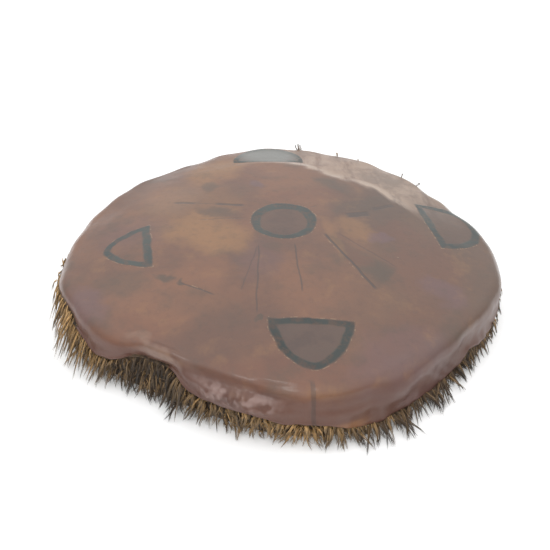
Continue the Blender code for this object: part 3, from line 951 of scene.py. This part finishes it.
def hide_ground(look, place, flat_spot, height, cloud, fine):
    """The colour of the smoked hide before it is painted: warm browns with stains, and a redder skirt. It
    also holds painted light and shade: shade on the head's right half and on the skirt, pale glare on the
    facet at the back, glints on the puckers at the front and a highlight along the front-left crest.
    """
    broad = look.noise(place, 11.0, 4.0, 0.55)
    colour = look.mix(look.rise(broad, 0.36, 0.64), *GROUND)
    drift = look.vector("SUBTRACT", look.noise(place, 26.0, 3.0, 0.6, "Color"), (0.5, 0.5, 0.5))
    ragged = look.vector("ADD", flat_spot, look.vector("MULTIPLY", drift, (0.045, 0.045, 0.0)))
    # Painted shade: the head darkens towards its right side, blended towards the smoke colour.
    shade = look.times(look.rise(look.part(flat_spot, 0), 0.0, 0.15), 0.6)
    colour = look.mix(shade, colour, SMOKE_AND_SHADE)
    for middle, length, width, turn, kind, strength in STAINS_AND_HIGHLIGHT:
        share = oval_mask(look, ragged, middle, length * 1.5, width * 1.5, turn)
        colour = look.mix(look.times(share, strength), colour, kind)
    colour = look.mix(look.times(look.rise(cloud, 0.5, 0.72), 0.45), colour, SMOKE_AND_SHADE)
    colour = look.mix(look.times(look.rise(cloud, 0.46, 0.26), 0.3), colour, TAN)
    colour = look.mix(look.times(look.rise(fine, 0.48, 0.75), 0.22), colour, SPECKS)
    streak = look.noise(look.vector("MULTIPLY", place, (60.0, 14.0, 14.0)), 1.0, 4.0, 0.6)
    # Painted reflection: pale streaks on the facet at the back stand in for its glare of the bright surround.
    facet = look.attribute("facet")
    wear_and_glare = look.times(facet, look.rise(streak, 0.2, 0.56))
    patchy = look.calc("MAXIMUM", look.rise(cloud, 0.62, 0.42), look.rise(facet, 0.75, 0.9))
    wear_and_glare = look.times(wear_and_glare, look.calc("MULTIPLY_ADD", patchy, 0.45, 0.52))
    colour = look.mix(wear_and_glare, colour, PALE)
    # Below the edge the skirt turns darker and redder: partly its own redder colour, partly painted shade on
    # the side wall.
    wall = look.times(look.rise(height, 0.05, 0.043), 0.65)
    colour = look.mix(wall, colour, SHADED_SKIRT)
    # Painted highlight: pale pinkish glints over the puckers on the front skirt, broken into blotches.
    pucker_glint = look.attribute("pucker_glint")
    blotches = look.rise(look.noise(place, 105.0, 1.0, 0.5), 0.42, 0.62)
    painted_glint = look.times(pucker_glint, blotches)
    colour = look.mix(look.times(painted_glint, 0.75), colour, GLINT_TINT)
    return look.mix(look.times(look.attribute("amber"), 0.7), colour, AMBER_TINT)


def under_hair(look, place):
    """The colour of the skin that the hair grows from, with short hair lying on it."""
    lying = look.noise(look.vector("MULTIPLY", place, (1.0, 1.0, 0.4)), 260.0, 3.0, 0.7)
    wear_and_glare = look.noise(place, 34.0, 3.0, 0.6)
    colour = look.mix(look.rise(lying, 0.42, 0.62), *UNDER_HAIR)
    return look.mix(look.times(look.rise(wear_and_glare, 0.52, 0.7), 0.5), colour, WORN_UNDER_HAIR)


def flesh_side(look, place):
    """The colour of the hide's untreated inner face: pale tan with darker veins and patches."""
    cloud = look.noise(place, 16.0, 4.0, 0.6)
    vein = look.noise(place, 70.0, 3.0, 0.7)
    colour = look.mix(look.rise(cloud, 0.36, 0.66), *FLESH)
    return look.mix(look.times(look.rise(vein, 0.5, 0.7), 0.35), colour, FLESH_VEINS)


def hide_look():
    """Smoke-browned hide under an old glossy finish, with its painted and scored pattern."""
    look = Look("painted_hide")
    place = look.place()
    spot = look.vector("SUBTRACT", place, tuple(PAINT_CENTRE))
    flat_spot = look.vector("MULTIPLY", spot, (1.0, 1.0, 0.0))
    height = look.part(place, 2)
    cloud = look.noise(place, 30.0, 5.0, 0.6)
    fine = look.noise(place, 150.0, 4.0, 0.6)
    colour = hide_ground(look, place, flat_spot, height, cloud, fine)

    wobble = look.vector("SUBTRACT", look.noise(place, 42.0, 2.0, 0.5, "Color"), (0.5, 0.5, 0.5))
    painted = look.vector("ADD", flat_spot, look.vector("MULTIPLY", wobble, (0.007, 0.007, 0.0)))
    drawn = look.vector("ADD", flat_spot, look.vector("MULTIPLY", wobble, (0.004, 0.004, 0.0)))
    wear_and_glare = look.rise(look.noise(place, 120.0, 4.0, 0.65), 0.34, 0.58)
    flecks = look.rise(look.noise(place, 200.0, 2.0, 0.6), 0.5, 0.6)

    ring_away = look.away(painted, RING_CENTRE)
    ring_outside = look.calc("SUBTRACT", look.vector("LENGTH", ring_away, output="Value"), RING_OUTER)
    hole_away = look.vector("ADD", ring_away, (0.0, RING_INNER_DROP, 0.0))
    hole_inside = look.calc("SUBTRACT", look.vector("LENGTH", hole_away, output="Value"), RING_INNER)
    shapes = [(ring_outside, look.calc("SUBTRACT", hole_inside, ring_outside), RING_FILL, RING_BAND)]
    for middle, bearing, half_width, depth, end_power, filled, inked in LOBES:
        outside = lobe_distance(look, painted, middle, bearing, half_width, depth, end_power)
        shapes.append((outside, BAND, filled, inked))
    band = 0.0
    ink = 0.0
    fill = 0.0
    whole = 0.0
    score = 0.0
    for outside, width, filled, inked in shapes:
        inside = look.rise(outside, 0.0014, -0.0014)
        core = look.rise(look.calc("ADD", outside, width), 0.0016, -0.0016)
        edge = look.rise(look.calc("ABSOLUTE", look.calc("SUBTRACT", outside, 0.0008)), 0.0008, 0.0002)
        rim = look.calc("SUBTRACT", inside, core)
        band = look.calc("MAXIMUM", band, rim)
        ink = look.calc("MAXIMUM", ink, look.times(rim, inked))
        fill = look.calc("MAXIMUM", fill, look.times(core, filled))
        whole = look.calc("MAXIMUM", whole, inside)
        score = look.calc("MAXIMUM", score, edge)
    fill_colour = look.mix(look.rise(cloud, 0.38, 0.62), *FILL)
    colour = look.mix(fill, colour, fill_colour)
    band_share = look.times(band, look.calc("MULTIPLY_ADD", wear_and_glare, 0.34, 0.66))
    thin_band = look.mix(look.rise(cloud, 0.4, 0.6), *THIN_BAND)
    thick_band = look.mix(look.rise(cloud, 0.4, 0.6), *THICK_BAND)
    band_colour = look.mix(ink, thin_band, thick_band)
    colour = look.mix(band_share, colour, band_colour)

    veil = oval_mask(look, flat_spot, *VEIL)
    colour = look.mix(look.times(look.times(veil, whole), 0.78), colour, BLOOM)

    dark = 0.0
    for start, end, width, strength in STROKES:
        stroke = look.times(stroke_mask(look, drawn, start, end, width, STROKE_SOFTNESS), strength)
        dark = look.calc("MAXIMUM", dark, stroke)
    wedge = wedge_mask(look, drawn, WEDGE)
    colour = look.mix(look.times(wedge, 0.35), colour, SMOKE_AND_SHADE)
    colour = look.mix(dark, colour, STROKE_PAINT)
    for start, end, width in SCRATCHES:
        scratch = stroke_mask(look, flat_spot, start, end, width, SCRATCH_SOFTNESS)
        score = look.calc("MAXIMUM", score, scratch)
    score = look.times(score, flecks)
    colour = look.mix(look.times(score, 0.35), colour, SCORED)

    inner = look.attribute("inner")
    furred = look.attribute("furred")
    colour = look.mix(furred, colour, under_hair(look, place))
    look.set("Base Color", look.mix(inner, colour, flesh_side(look, place)))
    bare = look.calc("SUBTRACT", 1.0, look.calc("MAXIMUM", furred, inner))
    look.set("Roughness", 0.55)
    look.set("Specular IOR Level", 0.38)
    side = look.rise(height, 0.052, 0.04)
    coat = look.times(bare, look.calc("MULTIPLY_ADD", side, -0.55, 1.0))
    matt = look.times(ink, look.calc("SUBTRACT", 1.0, veil))
    look.set("Coat Weight", look.times(coat, look.calc("MULTIPLY_ADD", matt, -0.4, 1.0)))
    look.set("Coat Roughness", 0.26)
    look.set("Coat IOR", 1.5)
    relief = look.calc("ADD", look.times(fine, 0.2), look.times(cloud, 2.6))
    relief = look.calc("ADD", relief, look.times(band, 0.4))
    relief = look.calc("SUBTRACT", relief, look.times(dark, 0.8))
    bumped = look.bump(relief, 0.0004)
    look.set("Normal", bumped)
    look.set("Coat Normal", bumped)
    return look.material


def hair_look():
    """Coarse hair: golden brown at the root, dark grey-brown towards the tip."""
    look = Look("coarse_hair")
    along = look.attribute("along")
    tone = look.attribute("tone")
    place = look.place()
    cloud = look.noise(place, 22.0, 2.0)
    root = look.mix(tone, *HAIR_ROOT)
    tip = look.mix(tone, *HAIR_TIP)
    darkened = look.rise(look.calc("ADD", along, look.times(cloud, 0.5)), 0.45, 1.1)
    look.set("Base Color", look.mix(darkened, root, tip))
    look.set("Roughness", 0.5)
    look.set("Specular IOR Level", 0.35)
    return look.material


def wood_look(name, pale, dark):
    """Split wood: long streaks that follow the piece, pores and some soiling."""
    look = Look(name)
    place = look.place()
    stretched = look.vector("MULTIPLY", place, (6.0, 6.0, 90.0))
    streak = look.noise(stretched, 3.0, 5.0, 0.6)
    soil = look.noise(place, 18.0, 3.0)
    fine = look.noise(look.vector("MULTIPLY", place, (20.0, 20.0, 600.0)), 3.0, 3.0)
    colour = look.mix(look.rise(streak, 0.35, 0.68), dark, pale)
    soiled = tuple(part * 0.5 for part in dark)
    colour = look.mix(look.times(look.rise(soil, 0.5, 0.7), 0.5), colour, soiled)
    look.set("Base Color", colour)
    look.set("Roughness", look.calc("MULTIPLY_ADD", streak, 0.25, 0.5))
    look.set("Normal", look.bump(fine, 0.0003))
    return look.material


def thong_look(name, pale, dark):
    """Rolled rawhide: a hard, slightly glossy skin with darker handled patches."""
    look = Look(name)
    place = look.place()
    cloud = look.noise(place, 60.0, 4.0, 0.6)
    fibre = look.noise(place, 900.0, 3.0, 0.6)
    colour = look.mix(look.rise(cloud, 0.38, 0.66), dark, pale)
    look.set("Base Color", colour)
    look.set("Roughness", look.calc("MULTIPLY_ADD", cloud, 0.3, 0.3))
    look.set("Normal", look.bump(fibre, 0.0003))
    return look.material


def floor_look():
    """A plain white sweep."""
    look = Look("white_sweep")
    place = look.place()
    look.set("Base Color", look.mix(look.noise(place, 2.0, 2.0), *WHITE_FLOOR))
    look.set("Roughness", 0.9)
    look.set("Specular IOR Level", 0.1)
    look.set("Emission Color", (1.0, 1.0, 1.0))
    look.set("Emission Strength", 0.12)
    return look.material


def give(piece, material):
    """Give a piece one material."""
    piece.data.materials.clear()
    piece.data.materials.append(material)


def dress_drum():
    """Every visible piece of the drum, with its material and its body."""
    hide = make_hide()
    give(hide, hide_look())
    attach(hide, BODY)
    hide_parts("head_hide")

    rng = np.random.default_rng(SEED)
    plan = plan_locks(rng)
    hair_material = hair_look()
    quarters = {"hair_right_back": [], "hair_left_back": [], "hair_left_front": [], "hair_right_front": []}
    names = list(quarters)
    for lock in plan:
        quarter = int((lock[0] % (2 * math.pi)) / (math.pi / 2)) % 4
        quarters[names[quarter]].append(lock)
    for name, locks in quarters.items():
        hair = make_hair(name, locks, rng)
        give(hair, hair_material)
        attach(hair, BODY)
        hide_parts("hair_margin")

    hoop = make_hoop()
    give(hoop, wood_look("split_wood", *SPLIT_WOOD))
    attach(hoop, BODY)
    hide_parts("hoop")

    looks = {
        "treenail": wood_look("whittled_wood", *WHITTLED_WOOD),
        "lacing_thong": thong_look("rolled_rawhide", *RAWHIDE),
        "grip_ring": thong_look("worn_grip", *WORN_GRIP),
    }
    for name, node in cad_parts.items():
        for start, material in looks.items():
            if name.startswith(start):
                give(node, material)


FLOOR_REACH = 40.0
FLOOR_HEIGHT = -0.0004
HORIZON_BRIGHTNESS = 0.62
OVERHEAD_BRIGHTNESS = 1.48
LIGHT_PLACE = Vector((-0.25, -0.45, 1.3))
LIGHT_SIZE = 0.3
LIGHT_POWER = 1.2


def add_light():
    """One large soft light from the upper left, aimed at the middle of the frame."""
    data = bpy.data.lights.new("overhead", "AREA")
    data.size = LIGHT_SIZE
    data.energy = LIGHT_POWER
    lamp = add_object("overhead", data)
    lamp.location = LIGHT_PLACE
    lamp.rotation_euler = (-LIGHT_PLACE).to_track_quat("-Z", "Y").to_euler()


def make_studio():
    """A white sweep, an even white surround and one large soft light from the upper left."""
    sides = ((-1, -1), (1, -1), (1, 1), (-1, 1))
    corners = [(FLOOR_REACH * across, FLOOR_REACH * along, FLOOR_HEIGHT) for across, along in sides]
    floor = add_mesh("floor", corners, [(0, 1, 2, 3)])
    give(floor, floor_look())
    bpy.context.scene.world = make_surround()
    add_light()


def make_surround():
    """An even white surround that is brighter overhead than at the horizon."""
    world = bpy.data.worlds.new("white_surround")
    world.use_nodes = True
    tree = world.node_tree
    place = tree.nodes.new("ShaderNodeTexCoord")
    split = tree.nodes.new("ShaderNodeSeparateXYZ")
    tree.links.new(place.outputs["Generated"], split.inputs[0])
    fade = tree.nodes.new("ShaderNodeMapRange")
    fade.interpolation_type = "SMOOTHSTEP"
    for end, level, brightness in (("Min", 0.1, HORIZON_BRIGHTNESS), ("Max", 0.85, OVERHEAD_BRIGHTNESS)):
        fade.inputs["From " + end].default_value = level
        fade.inputs["To " + end].default_value = brightness
    sky = tree.nodes["Background"].inputs
    sky["Color"].default_value = (1.0, 1.0, 1.0, 1.0)
    tree.links.new(split.outputs["Z"], fade.inputs["Value"])
    tree.links.new(fade.outputs["Result"], sky["Strength"])
    return world


CAMERA_FROM_PAINT = Vector((-0.008, -0.508, 0.389))
CAMERA_PITCH = 38.0
CAMERA_ROLL = 1.2
CAMERA_LENS = 36.0


def make_camera():
    """The camera, where the pattern on the head is seen from the front and above."""
    data = bpy.data.cameras.new("camera")
    data.lens = CAMERA_LENS
    data.sensor_width = 36.0
    data.clip_start = 0.01
    camera = add_object("camera", data)
    tilt = Matrix.Rotation(math.radians(90.0 - CAMERA_PITCH), 4, "X")
    roll = Matrix.Rotation(math.radians(CAMERA_ROLL), 4, "Z")
    camera.matrix_world = Matrix.Translation(PAINT_CENTRE + CAMERA_FROM_PAINT) @ tilt @ roll
    bpy.context.scene.camera = camera


dress_drum()
make_studio()
make_camera()
bpy.context.scene.view_settings.view_transform = "Standard"
